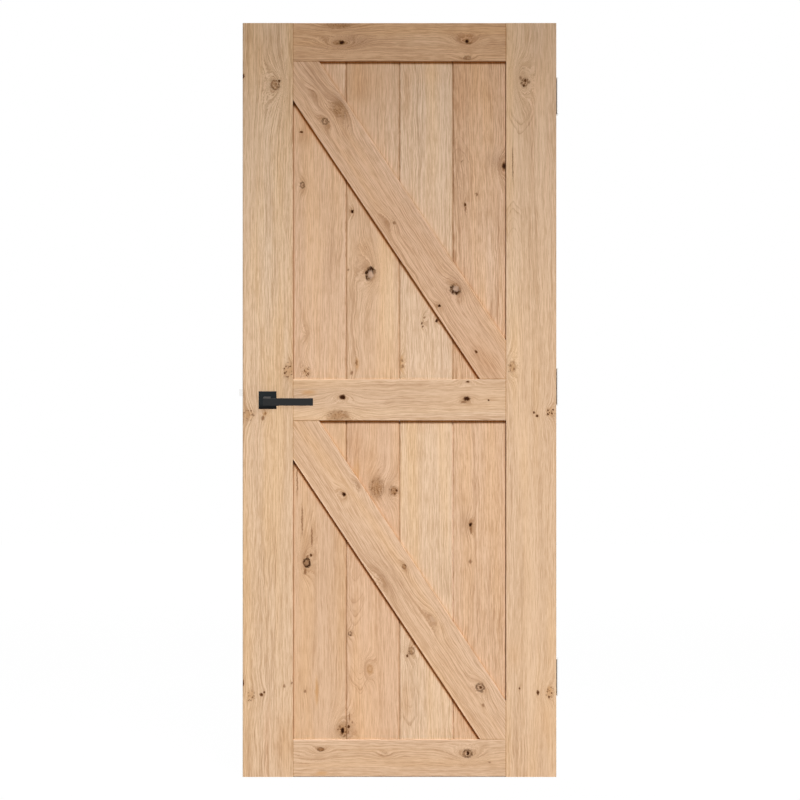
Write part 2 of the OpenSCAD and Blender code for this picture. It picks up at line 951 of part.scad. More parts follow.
lock_stile();
hinge_stile();
top_rail();
middle_rail();
bottom_rail();
rail_dowels();
upper_board(1);  // upper_board_1
upper_board(2);  // upper_board_2
upper_board(3);  // upper_board_3
upper_board(4);  // upper_board_4
lower_board(1);  // lower_board_1
lower_board(2);  // lower_board_2
lower_board(3);  // lower_board_3
lower_board(4);  // lower_board_4
front_upper_brace();
front_lower_brace();
back_upper_brace();
back_lower_brace();
forend();
forend_screws();
lock_case();
lock_cover();
cover_screws();
latch_bolt();
latch_spring();
follower();
spindle();
front_lever();
back_lever();
grub_screws();
front_rose();
back_rose();
front_rose_base();
back_rose_base();
rose_bolts();
hinge_door_plate(top_hinge_z);  // top_hinge_door_plate
hinge_frame_plate(top_hinge_z);  // top_hinge_frame_plate
hinge_pin(top_hinge_z);  // top_hinge_pin
hinge_rings(top_hinge_z);  // top_hinge_rings
hinge_door_plate(middle_hinge_z);  // middle_hinge_door_plate
hinge_frame_plate(middle_hinge_z);  // middle_hinge_frame_plate
hinge_pin(middle_hinge_z);  // middle_hinge_pin
hinge_rings(middle_hinge_z);  // middle_hinge_rings
hinge_door_plate(bottom_hinge_z);  // bottom_hinge_door_plate
hinge_frame_plate(bottom_hinge_z);  // bottom_hinge_frame_plate
hinge_pin(bottom_hinge_z);  // bottom_hinge_pin
hinge_rings(bottom_hinge_z);  // bottom_hinge_rings
hinge_screws();
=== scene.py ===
# Looks of the oak door: oiled knotty oak, black lever set, satin steel latch and hinges. Lengths in metres
import math
from collections import namedtuple

import bmesh
import bpy
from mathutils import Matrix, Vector


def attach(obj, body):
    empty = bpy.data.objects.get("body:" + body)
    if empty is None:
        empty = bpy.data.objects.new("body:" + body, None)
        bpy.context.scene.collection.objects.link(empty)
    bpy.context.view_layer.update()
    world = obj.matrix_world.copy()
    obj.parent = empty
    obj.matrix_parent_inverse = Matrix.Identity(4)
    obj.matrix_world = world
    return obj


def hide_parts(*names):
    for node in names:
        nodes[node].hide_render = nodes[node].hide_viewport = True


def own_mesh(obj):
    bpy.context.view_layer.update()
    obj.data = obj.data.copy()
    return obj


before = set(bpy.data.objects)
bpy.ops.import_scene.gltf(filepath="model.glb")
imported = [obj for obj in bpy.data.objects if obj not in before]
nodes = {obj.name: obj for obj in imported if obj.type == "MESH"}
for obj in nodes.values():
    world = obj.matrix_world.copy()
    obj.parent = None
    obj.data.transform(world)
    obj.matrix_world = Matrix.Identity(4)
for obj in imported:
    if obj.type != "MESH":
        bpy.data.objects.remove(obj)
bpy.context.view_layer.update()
scene = bpy.context.scene
scene.view_settings.view_transform = "Standard"

MM = 0.001

# Sizes and places of the pieces that their finishes follow, as the CAD has them
LEAF_MIDDLE_Z = 1.0575
LEAF_HALF_T = 0.020
STILE_X = 0.3695
TOP_RAIL_Z = 2.0615
MIDDLE_RAIL_Z = 1.058
MIDDLE_RAIL_HALF_H = 0.058
BOTTOM_RAIL_Z = 0.0525
BOTTOM_RAIL_HALF_H = 0.0525
UPPER_Z = 1.562
UPPER_HALF_H = 0.446
LOWER_Z = 0.5525
LOWER_HALF_H = 0.4475
FIELD_HALF_W = 0.299
BOARD_W = 0.1495
BOARD_HALF_T = 0.012
BRACE_HALF_W = 0.0605


class Signal:
    """A socket of a finish. Python's operators on it add Math nodes."""

    def __init__(self, finish, node, out):
        self.finish = finish
        self.node = node
        self.socket = node.outputs[out] if node.outputs else None

    def other(self, out):
        return Signal(self.finish, self.node, out)

    def math(self, operation, *terms):
        return self.finish.node("ShaderNodeMath", {"operation": operation}, dict(enumerate(terms)))

    def of(self, operation):
        return self.math(operation, self)

    def __add__(self, other):
        return self.math("ADD", self, other)

    def __sub__(self, other):
        return self.math("SUBTRACT", self, other)

    def __rsub__(self, other):
        return self.math("SUBTRACT", other, self)

    def __mul__(self, other):
        return self.math("MULTIPLY", self, other)

    def __truediv__(self, other):
        return self.math("DIVIDE", self, other)

    __radd__ = __add__
    __rmul__ = __mul__

    def most(self, other):
        return self.math("MAXIMUM", self, other)

    def least(self, other):
        return self.math("MINIMUM", self, other)

    def step(self, low, high):
        """0 at low, 1 at high, smooth between; low may be the larger."""
        limits = {"Value": self, "From Min": low, "From Max": high}
        return self.finish.node("ShaderNodeMapRange", {"interpolation_type": "SMOOTHSTEP"}, limits)


class Finish:
    """The node tree of a material or of the world."""

    def __init__(self, owner):
        owner.use_nodes = True
        self.owner = owner
        self.tree = owner.node_tree
        self.tree.nodes.clear()

    def node(self, kind, settings=None, inputs=None, out=0):
        """Adds a node: its settings first, then the values or links of its sockets."""
        made = self.tree.nodes.new(kind)
        for name, value in (settings or {}).items():
            if name == "stops":
                ramp = made.color_ramp
                while len(ramp.elements) < len(value):
                    ramp.elements.new(0.5)
                for element, (place, colour) in zip(ramp.elements, value):
                    element.position = place
                    element.color = (*colour, 1)
            else:
                setattr(made, name, value)
        for name, value in (inputs or {}).items():
            if isinstance(value, Signal):
                self.tree.links.new(value.socket, made.inputs[name])
            elif value is not None:
                made.inputs[name].default_value = value
        return Signal(self, made, out)

    def vector(self, operation, first, second=None, third=None, out=0):
        terms = {0: first, 1: second, 2: third}
        return self.node("ShaderNodeVectorMath", {"operation": operation}, terms, out)

    def join(self, x, y, z):
        return self.node("ShaderNodeCombineXYZ", None, {0: x, 1: y, 2: z})

    def split(self, vector, out="X"):
        return self.node("ShaderNodeSeparateXYZ", None, {0: vector}, out)

    def turned(self, vector, centre, turn):
        """A vector as seen from a centre, in axes turned in the plane of the door."""
        inputs = {"Vector": vector, "Location": centre, "Rotation": (0, turn, 0)}
        return self.node("ShaderNodeMapping", {"vector_type": "TEXTURE"}, inputs)

    def noise(self, vector, scale, detail, roughness, dimensions="3D", out="Fac"):
        inputs = {"Vector": vector, "Scale": scale, "Detail": detail, "Roughness": roughness}
        return self.node("ShaderNodeTexNoise", {"noise_dimensions": dimensions}, inputs, out)

    def noise_over(self, first, second, detail, roughness):
        """Noise over two values, each already stretched as it should be."""
        return self.noise(self.join(first, second, 0), 1, detail, roughness, "2D")

    def mix(self, amount, first, second, blend="MIX"):
        settings = {"data_type": "RGBA", "blend_type": blend}
        return self.node("ShaderNodeMix", settings, {0: amount, 6: first, 7: second}, 2)

    def tone(self, amount, colour, factors):
        """A colour times three factors, by an amount from 0 to 1."""
        return self.mix(amount, colour, (*factors, 1), "MULTIPLY")

    def bell(self, away, half_w, half_l):
        """1 at a place and softly 0 round it, from the way to that place."""
        spread = self.vector("MULTIPLY", away, (1 / half_w, 0, 1 / half_l))
        return (self.vector("DOT_PRODUCT", spread, spread, out="Value") * -1).of("EXPONENT")

    def bump(self, strength, distance, height):
        inputs = {"Strength": strength, "Distance": distance, "Height": height}
        return self.node("ShaderNodeBump", None, inputs)

    def surface(self, inputs):
        """The material, with its Principled shader joined to the output."""
        made = self.node("ShaderNodeBsdfPrincipled", None, inputs)
        self.node("ShaderNodeOutputMaterial", None, {"Surface": made})
        return self.owner


def new_finish(name):
    return Finish(bpy.data.materials.new(name))


def tinted(colour, factors):
    return tuple(c * f for c, f in zip(colour, factors)) + (1.0,)


def level(colour, amount):
    return tinted(colour, (amount, amount, amount))


# What each kind of knot shows, from 0 to 1: black core, red-brown spot, dark ring, brown fill, pale middle,
# halo, pin knots and warm stain, then how much it bends and swells the grain round it
Kind = namedtuple("Kind", "core spot ring fill pale halo pins stain bend swell")
KNOT_KINDS = {
    "dead": Kind(1.0, 0.95, 0.3, 0.60, 0.0, 0.45, 0.0, 0.10, 0.5, 0.9),
    "crescent": Kind(0.0, 0.0, 1.0, 0.50, 0.4, 0.50, 0.0, 0.10, 0.5, 0.9),
    "bull": Kind(0.1, 0.3, 1.0, 0.80, 0.0, 0.50, 0.3, 0.10, 0.5, 0.9),
    "ring": Kind(0.0, 0.0, 0.6, 0.50, 0.1, 0.45, 0.5, 0.10, 0.5, 0.9),
    "brown": Kind(0.0, 0.0, 0.3, 0.85, 0.0, 0.45, 1.0, 0.10, 0.5, 0.9),
    "dot": Kind(0.3, 0.95, 0.0, 0.30, 0.0, 0.20, 0.0, 0.15, 0.2, 0.3),
    "speck": Kind(0.0, 0.50, 0.0, 0.30, 0.0, 0.15, 0.0, 0.25, 0.2, 0.3),
    "cluster": Kind(0.0, 0.0, 0.0, 0.15, 0.0, 0.20, 1.0, 0.50, 0.4, 0.4),
    "scribble": Kind(0.0, 0.0, 0.1, 0.85, 0.0, 0.45, 0.5, 0.25, 0.5, 1.0),
    "faint": Kind(0.0, 0.0, 0.05, 0.06, 0.0, 0.11, 0.0, 0.00, 0.5, 0.85),
    "orange": Kind(0.0, 0.0, 0.0, 0.00, 0.0, 0.05, 0.0, 0.80, 0.3, 0.4),
    "pink": Kind(0.0, 0.0, 0.08, 0.06, 0.2, 0.12, 0.0, 0.15, 0.5, 0.85),
    "eye": Kind(0.0, 0.0, 0.0, 0.00, 0.0, 0.00, 0.0, 0.00, 0.0, 0.9),
}

# Knots of each piece: kind, place across and along the grain, half width and half length in mm, and for some
# the direction of their dark side in degrees
KNOTS = {
    "lock_stile": [
        ("eye", 17, 881, 25, 84), ("brown", 21, 884, 12, 14), ("dot", 33, 895, 3.5, 4),
        ("speck", 15, 875, 3, 3.5), ("speck", 26, 878, 3, 3.5), ("dot", -69, 909, 3.5, 7),
        ("cluster", 58, 84, 13, 20), ("dot", 48, 76, 2.5, 3), ("dot", 64, 95, 2.5, 3),
        ("cluster", -53, -42, 14, 14), ("speck", -14, -51, 5.5, 6), ("orange", -7, -38, 5.5, 6.5),
        ("speck", -7, -38, 3, 4), ("dot", -18, -827, 5, 5.5), ("dot", -10, -819, 3, 3.5),
        ("cluster", -49, -827, 11, 15), ("dot", -69, -794, 4, 8.5), ("speck", 46, -802, 3.5, 4.5),
        ("speck", 67, -794, 3, 3.5),
    ],
    "hinge_stile": [
        ("eye", -26, 886, 28, 78), ("brown", -19, 891, 9.5, 12), ("dot", -17, 895, 4, 4.5),
        ("dot", -21, 882, 3.5, 4.5), ("speck", -6, 891, 3.5, 4.5), ("speck", -30, 903, 4, 5),
        ("faint", -26, 917, 8.5, 17), ("speck", -52, 660, 2, 45), ("cluster", -54, 93, 11, 17),
        ("faint", -54, 93, 10, 16), ("speck", -57, 97, 2.5, 4), ("speck", -49, 86, 2.5, 3.5),
        ("dot", 8, -35, 3.5, 3.5), ("dot", 16, -45, 4, 4), ("dot", 47, -29, 2.5, 3),
        ("dot", 61, -27, 2.5, 3), ("dot", 47, -40, 2.5, 3), ("dot", 58, -37, 2.5, 3),
        ("cluster", 55, -34, 12, 12), ("dot", 19, -821, 5, 7.5), ("dot", -33, -809, 2.5, 3.5),
        ("cluster", 52, -820, 11, 17), ("orange", 52, -815, 9.5, 14), ("dot", 50, -833, 3, 3.5),
    ],
    "top_rail": [
        ("eye", 3, -164, 20, 73), ("dead", 1, -162, 5.5, 7.5), ("speck", 4, -174, 3.5, 5),
        ("faint", 3, -167, 10, 25), ("scribble", -51, -170, 10, 31), ("dead", -2, 189, 5.5, 6),
        ("speck", 3, 195, 3.5, 8.5), ("faint", -8, 183, 8.5, 17), ("brown", 44, 190, 5.5, 9),
    ],
    "middle_rail": [
        ("eye", -8, -161, 20, 67), ("dead", -8, -160, 7, 8.5), ("scribble", 43, -171, 12, 26),
        ("orange", -21, -255, 7, 22), ("dot", -51, 190, 3, 6), ("faint", -51, 190, 5, 13),
        ("dead", -3, 189, 6, 9), ("speck", 6, 181, 3, 8.5), ("dot", 1, 250, 2, 3),
    ],
    "bottom_rail": [
        ("eye", -12, 189, 20, 62), ("eye", -1, -240, 14, 56), ("brown", -25, -221, 5.5, 9),
        ("faint", -9, -41, 5.5, 11), ("orange", 42, -218, 5.5, 17), ("ring", -13, 191, 11, 13),
        ("dead", -14, 192, 6, 4), ("speck", 11, 252, 3, 4),
    ],
    "front_upper_brace": [
        ("faint", -1, 427, 7, 11), ("scribble", 33, 350, 15, 24), ("ring", -19, 346, 8.5, 10),
        ("speck", -17, 345, 3.5, 4), ("speck", -17, 2, 4, 5.5), ("faint", -30, 18, 8.5, 14),
        ("crescent", 24, -248, 15, 15, -159), ("dead", -41, -262, 3.5, 4), ("dot", -27, -426, 4, 6),
    ],
    "front_lower_brace": [
        ("dead", 4, 287, 5.5, 6.5), ("pink", -2, 293, 5.5, 7.5), ("faint", 52, 286, 5.5, 11),
        ("brown", 32, 24, 5.5, 7), ("faint", -41, 26, 11, 20), ("pink", 16, -143, 10, 17),
        ("ring", 21, -376, 11, 12), ("dot", 22, -377, 5, 5), ("speck", 0, -422, 3.5, 4.5),
    ],
    "back_upper_brace": [
        ("ring", -24, 180, 10, 13), ("brown", 30, -60, 6, 9), ("scribble", -8, -310, 12, 18),
    ],
    "back_lower_brace": [
        ("dead", 18, 205, 6, 9), ("faint", -30, 40, 8, 14), ("cluster", 6, -270, 11, 14),
    ],
    "upper_board_1": [
        ("dot", -51, 248, 6, 3), ("ring", -48, 99, 6.5, 8.5), ("speck", -46, 98, 2.5, 3),
        ("faint", -38, -320, 5.5, 11), ("cluster", -37, -427, 11, 13), ("speck", -42, -423, 3, 3.5),
        ("speck", -32, -430, 3, 3.5),
    ],
    "upper_board_2": [
        ("eye", -16, -123, 28, 78), ("dead", -58, 25, 4, 5), ("speck", -69, -139, 3, 3.5),
        ("crescent", -6, -151, 14, 19, 135), ("speck", -46, -400, 3.5, 8),
        ("speck", -59, -428, 3, 6.5), ("orange", -44, -403, 5.5, 17),
    ],
    "upper_board_3": [
        ("dot", -12, -289, 3, 3.5), ("dot", -10, -298, 3, 3.5), ("faint", -3, -273, 6.5, 8),
        ("speck", -5, -273, 3, 3.5), ("dead", 30, -282, 3.5, 4.5), ("speck", -67, -394, 3.5, 4.5),
        ("speck", -66, -410, 4, 5.5), ("orange", -68, -403, 8.5, 22),
    ],
    "upper_board_4": [
        ("dot", -40, 44, 3.5, 5.5), ("speck", -39, 31, 2, 8.5), ("speck", -7, 73, 3, 5.5),
        ("dead", 69, 152, 5.5, 10), ("faint", 67, 152, 11, 14), ("speck", -49, 166, 2, 3),
    ],
    "lower_board_1": [
        ("eye", -38, 79, 22, 84), ("bull", -36, 48, 9.5, 12), ("dot", -24, 69, 4, 5),
        ("speck", -34, 65, 4, 5.5), ("speck", -41, 23, 4.5, 8.5), ("speck", -41, -313, 4, 5),
        ("orange", -9, -314, 5.5, 45), ("speck", -63, 280, 2, 40), ("speck", -22, 122, 2.5, 28),
        ("speck", -49, 168, 2, 45), ("dead", 64, -424, 5.5, 10), ("faint", 67, -422, 25, 20),
        ("eye", 67, -422, 20, 22), ("cluster", 66, -420, 17, 17), ("speck", 57, -412, 3, 4),
        ("speck", 70, -437, 3, 3.5),
    ],
    "lower_board_2": [
        ("scribble", 11, 259, 20, 25), ("scribble", 57, 250, 12, 13), ("dot", 66, 251, 3.5, 4),
        ("dot", 62, 241, 2.5, 3), ("dot", 52, 253, 2.5, 3), ("ring", -64, -151, 5, 6),
        ("pink", -8, -250, 7, 9), ("orange", -8, -252, 9, 14), ("eye", -18, -245, 18, 36),
        ("faint", -82, -422, 25, 20), ("eye", -82, -422, 20, 22), ("dot", -68, -412, 4, 5.5),
        ("speck", -57, -400, 2.5, 3.5), ("speck", -69, -428, 3.5, 5), ("orange", -46, 300, 9, 38),
        ("cluster", -80, -420, 17, 17), ("speck", -66, -385, 2, 14),
    ],
    "lower_board_3": [
        ("brown", -41, -200, 8.5, 11), ("dot", -53, -213, 3.5, 4.5),
    ],
    "lower_board_4": [
        ("dead", -25, 155, 4.5, 6.5), ("speck", -24, 140, 3, 11), ("speck", -25, 52, 5, 6),
    ],
}

# Soft washes of tone: the factors of each kind, then each piece's washes by kind, place across and along
# the grain, half width and half length in mm
WASH_KINDS = {
    "pale": (1.06, 1.11, 1.17),
    "honey": (0.98, 0.94, 0.89),
    "warm": (0.91, 0.84, 0.77),
    # The smoky washes are a smoky tone, and painted shadow where they lie below the rose and the lever
    "smoky_and_shade": (0.85, 0.83, 0.83),
    # The darkest kind is painted shadow in the corners at the tips of the braces
    "painted_corner_shadow": (0.30, 0.24, 0.20),
}
WASHES = {
    "lock_stile": [
        ("pale", 0, 430, 40, 340), ("warm", 45, -960, 35, 75), ("honey", -15, 955, 45, 85),
        # Painted shadow below the rose, then painted shadow below the lever
        ("smoky_and_shade", -5, -29, 24, 6), ("smoky_and_shade", 48, -20, 26, 5),
    ],
    "hinge_stile": [
        ("pale", -55, 280, 22, 170), ("honey", 20, 885, 35, 85), ("honey", -48, -715, 20, 40),
        ("honey", 40, -910, 25, 70),
    ],
    "top_rail": [("smoky_and_shade", -6, -130, 22, 55), ("pale", -6, 58, 35, 95), ("warm", -11, 190, 14, 25)],
    # The second wash on the middle rail is painted shadow below the lever
    "middle_rail": [("pale", 38, 0, 10, 310), ("smoky_and_shade", 20, -272, 5, 30)],
    "front_upper_brace": [
        ("smoky_and_shade", 48, 367, 20, 25), ("smoky_and_shade", 28, -244, 24, 28), ("warm", -22, -465, 30, 60),
        ("pale", 50, 130, 18, 240),
    ],
    # The second wash here is painted shadow in the corner at the brace's tip
    "upper_board_1": [("warm", -40, 260, 22, 55), ("painted_corner_shadow", -71, 327, 6, 10)],
    "upper_board_2": [
        ("warm", -44, 380, 35, 80), ("honey", 0, 390, 55, 60), ("honey", -25, -85, 25, 40),
        ("pale", 55, 0, 18, 420), ("pale", 40, -265, 20, 140),
    ],
    "upper_board_3": [("warm", -55, 360, 16, 110), ("honey", 0, 410, 60, 28)],
    "upper_board_4": [
        ("warm", -57, 350, 24, 125), ("honey", 0, 370, 60, 85), ("smoky_and_shade", 44, 170, 26, 28),
        ("pale", 24, -85, 38, 195),
    ],
    "lower_board_1": [
        # The first wash here is painted shadow in the corner at the brace's tip
        ("painted_corner_shadow", -71, 329, 6, 10), ("smoky_and_shade", -38, 56, 17, 25), ("smoky_and_shade", 67, -422, 24, 20),
        ("smoky_and_shade", 67, -422, 13, 14),
    ],
    "lower_board_2": [
        ("honey", -20, 315, 35, 50), ("warm", -50, 380, 18, 55), ("smoky_and_shade", -82, -422, 24, 20),
        ("smoky_and_shade", -82, -422, 13, 14),
    ],
    "lower_board_3": [("warm", -57, -342, 17, 65)],
    "lower_board_4": [("smoky_and_shade", -38, 163, 18, 38), ("honey", -38, -380, 38, 80)],
}

# Nested arches in the grain: place of the outer tip across and along, half width and gap between lines
# in mm, number of lines, and 1 where the tips point down or -1 where they point up
ARCHES = {
    "hinge_stile": [(-48, 595, 24, 26, 7, -1), (-29, 724, 36, 22, 4, 1)],
    "upper_board_4": [(-58, 238, 40, 34, 5, -1)],
    "lower_board_1": [(-55, -404, 14, 50, 1, 1)],
    "lower_board_2": [(-49, -130, 24, 32, 5, 1), (-38, -328, 30, 14, 6, 1)],
    "lower_board_3": [(-45, -412, 20, 25, 4, 1)],
}

# Plain oak and the browns of its knots, as linear colours
OAK = (0.700, 0.470, 0.295)
HALO_BROWN = (0.38, 0.195, 0.080, 1)
FILL_BROWN = (0.240, 0.098, 0.030, 1)
RING_BROWN = (0.042, 0.014, 0.004, 1)
CORE_BROWN = (0.021, 0.005, 0.001, 1)
PIN_BROWN = (0.120, 0.042, 0.009, 1)
SPOT_BROWN = (0.115, 0.034, 0.006, 1)
PALE_WOOD = (0.68, 0.50, 0.40, 1)
STAIN_ORANGE = (0.58, 0.31, 0.125, 1)

# Factors on the oak's colour, for parts of its grain, and for its corners and edges: painted shade, painted
# shadow, painted light and dark joint lines
EARLY_WOOD = (1.13, 1.15, 1.17)
LATE_WOOD = (0.87, 0.81, 0.74)
LINE_WOOD = (0.56, 0.43, 0.32)
END_WOOD = (0.55, 0.45, 0.35)
# Painted shade in the grooves and corners of the boards, and the dark lines where the ends of braces and
# rails meet the frame
JOINT_AND_SHADE_BROWN = (0.55, 0.38, 0.10)
# Painted shadow below the rails and the braces, on the front
PAINTED_SHADOW_BROWN = (0.74, 0.36, 0.06)
# Painted highlights on the long edges of braces and the top edges of rails, and painted light in one groove
PAINTED_LIGHT_PALE = (1.16, 1.20, 1.26)
# Greyer painted shade at a board's foot, against the warm light the rail's ledge bounces onto it
FOOT_SHADE_GREY = (0.92, 0.97, 0.99)

# Slow changes of hue along the oak, from orange to grey and pink
HUES = [
    (0.30, (1.02, 0.985, 0.90)), (0.5, (1.0, 1.0, 1.0)), (0.68, (0.985, 0.995, 1.02)),
    (0.8, (1.02, 0.985, 0.99)),
]

# Distances from an edge over which its tone fades: where it is 0, then where it is full
# Painted shadow below the rails and braces, and how far into the front face it reaches
PAINTED_SHADOW_FADE = (0.0115, 0.0015)
PAINTED_SHADOW_DEPTH = (0.0, -0.008)
# Painted shade in the grooves and corners
GROOVE_FADE = (0.0002, 0.0020)
LOCK_SIDE_FADE = (0.008, 0.0)
BRACE_JOINT_FADE = (0.0040, 0.0005)
# Painted shade at a board's foot
FOOT_FADE = (0.016, 0.004)
# Painted highlights along edges
BRACE_HIGHLIGHT_FADE = (0.0070, 0.0025)
RAIL_HIGHLIGHT_FADE = (0.009, 0.003)
END_FADE = (0.0030, 0.0006)

# How strong those tones are where they are full: painted shadow, painted shade in the grooves and corners,
# painted light in one groove, painted highlights on edges, then dark joint lines at the ends
PAINTED_SHADOW_SHARE = 0.90
GROOVE_SHARE = 0.26
LOCK_SIDE_SHARE = 0.25
BRACE_JOINT_SHARE = 0.35
GROOVE_LIGHT_SHARE = 0.9
LOWER_HIGHLIGHT_SHARE = 0.8
UPPER_HIGHLIGHT_SHARE = 0.32
RAIL_HIGHLIGHT_SHARE = 0.55
END_SHARE = 0.5

# Where the joint at a board's edge begins, from the board's middle
JOINT_FROM = 0.0690
JOINT_TO = 0.0705

# Knots: how far their outlines stray, the share of that in small ones, how they lean across and along
# through the thickness, and the half width above which one is large
STRAY = 0.014
CALM = 0.6
LEAN_ACROSS = 0.15
LEAN_ALONG = 0.35
LARGE_KNOT = 0.007

# How far from a knot the grain gives way: times its half size, and a length besides
GIVE_TIMES_W = 1.3
GIVE_TIMES_L = 1.9
GIVE_MORE_W = 0.006
GIVE_MORE_L = 0.013

# The oak of each piece: tone, heart of the tree across and behind the face with its lean along the grain,
# and strength of the grain. The order gives each piece the number for its noise
WOOD = {
    "lock_stile": ((0.95, 0.98, 1.01), (0.085, 0.030, 0.02), 1.35),
    "hinge_stile": ((0.97, 0.99, 1.02), (-0.120, 0.050, 0.03), 0.90),
    "top_rail": ((0.86, 0.79, 0.74), (0.095, 0.040, 0.05), 1.40),
    "middle_rail": ((0.93, 0.94, 0.97), (-0.090, 0.040, 0.05), 0.90),
    "bottom_rail": ((0.91, 0.91, 0.93), (0.100, 0.040, 0.05), 1.00),
    "front_upper_brace": ((0.91, 0.87, 0.88), (0.110, 0.050, 0.03), 1.20),
    "front_lower_brace": ((0.94, 0.93, 0.95), (0.105, 0.050, 0.04), 1.10),
    "back_upper_brace": ((1, 1, 1), (-0.110, -0.050, 0.03), 1.00),
    "back_lower_brace": ((1, 1, 1), (0.100, -0.050, 0.04), 1.00),
    "upper_board_1": ((0.96, 0.95, 0.99), (0.120, 0.060, 0.03), 1.05),
    "upper_board_2": ((0.95, 0.94, 0.96), (0.120, 0.040, 0.02), 1.00),
    "upper_board_3": ((1.01, 1.07, 1.17), (-0.140, 0.040, 0.02), 1.20),
    "upper_board_4": ((0.94, 0.91, 0.93), (-0.115, 0.050, 0.06), 1.90),
    "lower_board_1": ((0.92, 0.90, 0.91), (-0.125, 0.040, 0.04), 0.85),
    "lower_board_2": ((0.95, 0.92, 0.94), (-0.120, 0.050, 0.03), 0.95),
    "lower_board_3": ((0.99, 1.04, 1.11), (-0.120, 0.040, 0.02), 1.20),
    "lower_board_4": ((0.95, 0.93, 0.95), (-0.140, 0.060, 0.03), 1.40),
    "rail_dowels": ((1, 1, 1), (0.100, 0.030, 0.02), 1.00),
}

# The two fields of boards, each with braces from corner to corner
Field = namedtuple("Field", "centre_z half_h brace_turn")
UPPER_FIELD = Field(UPPER_Z, UPPER_HALF_H, -math.atan2(FIELD_HALF_W, UPPER_HALF_H))
LOWER_FIELD = Field(LOWER_Z, LOWER_HALF_H, -math.atan2(FIELD_HALF_W, LOWER_HALF_H))

# Stiles, rails and dowels: centre across the door, centre height, turn of the grain
CROSSWISE = math.pi / 2
FRAME_PLACES = {
    "lock_stile": (-STILE_X, LEAF_MIDDLE_Z, 0),
    "hinge_stile": (STILE_X, LEAF_MIDDLE_Z, 0),
    "top_rail": (0, TOP_RAIL_Z, CROSSWISE),
    "middle_rail": (0, MIDDLE_RAIL_Z, CROSSWISE),
    "bottom_rail": (0, BOTTOM_RAIL_Z, CROSSWISE),
    "rail_dowels": (0, MIDDLE_RAIL_Z, CROSSWISE),
}

# Half heights of the rails whose top edges get a painted highlight
RAIL_TOPS = {"middle_rail": MIDDLE_RAIL_HALF_H, "bottom_rail": BOTTOM_RAIL_HALF_H}


def field_of(piece):
    return UPPER_FIELD if "upper" in piece else LOWER_FIELD


def place_of(piece):
    """A wooden piece's centre across the door, its centre height and the turn of its grain."""
    if "board" in piece:
        return (int(piece[-1]) - 2.5) * BOARD_W, field_of(piece).centre_z, 0
    if "brace" in piece:
        return 0, field_of(piece).centre_z, field_of(piece).brace_turn
    return FRAME_PLACES[piece]


def dark_ring(f, scaled, r, dark_side):
    """The dark ring of a knot, only towards its dark side where it has one."""
    if not dark_side:
        return r.step(1.25, 1.0) * r.step(0.50, 0.80)
    angle = math.radians(dark_side[0])
    towards = f.vector("DOT_PRODUCT", scaled, (math.cos(angle), 0, math.sin(angle)), out="Value")
    return r.step(1.25, 1.0) * r.step(0.25, 0.70) * towards.step(-0.9, 0.20)


def brown_fill(f, name, r, large, flat, shift):
    """The brown of a knot: loose curls in a scribble, else a disc, with rings where it is large."""
    if name == "scribble":
        curls = f.noise(f.vector("ADD", flat, shift), 260, 3, 0.7).step(0.42, 0.58)
        return r.step(1.7, 0.35) * (0.25 + curls * 0.75)
    disc = r.step(1.35, 0.85)
    return disc * ((r * 9).of("SINE") * 0.45 + 0.55) if large else disc


def knot_layers(f, piece, flat, calm, shift):
    """What a piece's knots show, layer by layer, and how they bend and swell the rings of the tree."""
    layers = {}

    def gather(layer, share, amount, joined="MAXIMUM"):
        """Adds a knot's share of one layer; amount is only built for a kind that shows the layer."""
        if share:
            part = amount() * share
            layers[layer] = part.math(joined, layers[layer], part) if layer in layers else part

    for name, knot_x, knot_z, half_w_mm, half_l_mm, *dark_side in KNOTS.get(piece, []):
        kind = KNOT_KINDS[name]
        reach_w = half_w = half_w_mm * MM
        reach_l = half_l = half_l_mm * MM
        large = half_w > LARGE_KNOT
        away = f.vector("SUBTRACT", flat if large else calm, (knot_x * MM, 0, knot_z * MM))
        if name != "eye":
            scaled = f.vector("MULTIPLY", away, (1 / half_w, 0, 1 / half_l))
            r = f.vector("LENGTH", scaled, out="Value")
            gather("core", kind.core, lambda: r.step(0.95, 0.50))
            gather("spot", kind.spot, lambda: r.step(1.25, 0.50))
            gather("ring", kind.ring, lambda: dark_ring(f, scaled, r, dark_side))
            gather("fill", kind.fill, lambda: brown_fill(f, name, r, large, flat, shift))
            gather("pale", kind.pale, lambda: r.step(0.75, 0.45))
            gather("pins", kind.pins, lambda: r.step(1.45, 0.85))
            gather("stain", kind.stain, lambda: r.step(1.5, 0.2))
            reach_w = GIVE_TIMES_W * half_w + GIVE_MORE_W
            reach_l = GIVE_TIMES_L * half_l + GIVE_MORE_L
        near = f.bell(away, reach_w, reach_l)
        gather("near", min(1, kind.swell), lambda: near)
        gather("halo", kind.halo, lambda: near.step(0.35, 1.05))
        gather("swell", kind.swell * reach_w, lambda: near, "ADD")
        gather("bend", -kind.bend, lambda: f.split(away) * near, "ADD")
    return layers


def arch_lines(f, arch, across, along, slow, wave, number):
    """The dark lines of one set of nested arches, broken and uneven in strength."""
    tip_x, tip_z, half_w, gap, count, points = arch
    aside = (across + wave * 0.022 + slow * 0.012 - tip_x * MM) / (half_w * MM)
    spread = aside * aside
    bowed = ((spread + 0.16).of("SQRT") - 0.4) * (2.4 * half_w / gap)
    inner = (along + slow * 0.03 + wave * 0.015 - tip_z * MM) * (points / (gap * MM)) - bowed
    inside = inner.step(-0.45, -0.15) * inner.step(count - 0.2, count - 1.2) * spread.step(1.5, 0.4)
    inner = inner + f.noise_over(inner * 0.8 + number, along * 4, 2, 0.5) * 1.8
    late = inner.of("FRACT")
    late = late.step(0.0, 0.05) * late.step(0.42, 0.03)
    strong = f.noise_over(inner.of("FLOOR") * 2.3 + number, along * 6, 1, 0.5).step(0.30, 0.62)
    return late * inside * strong


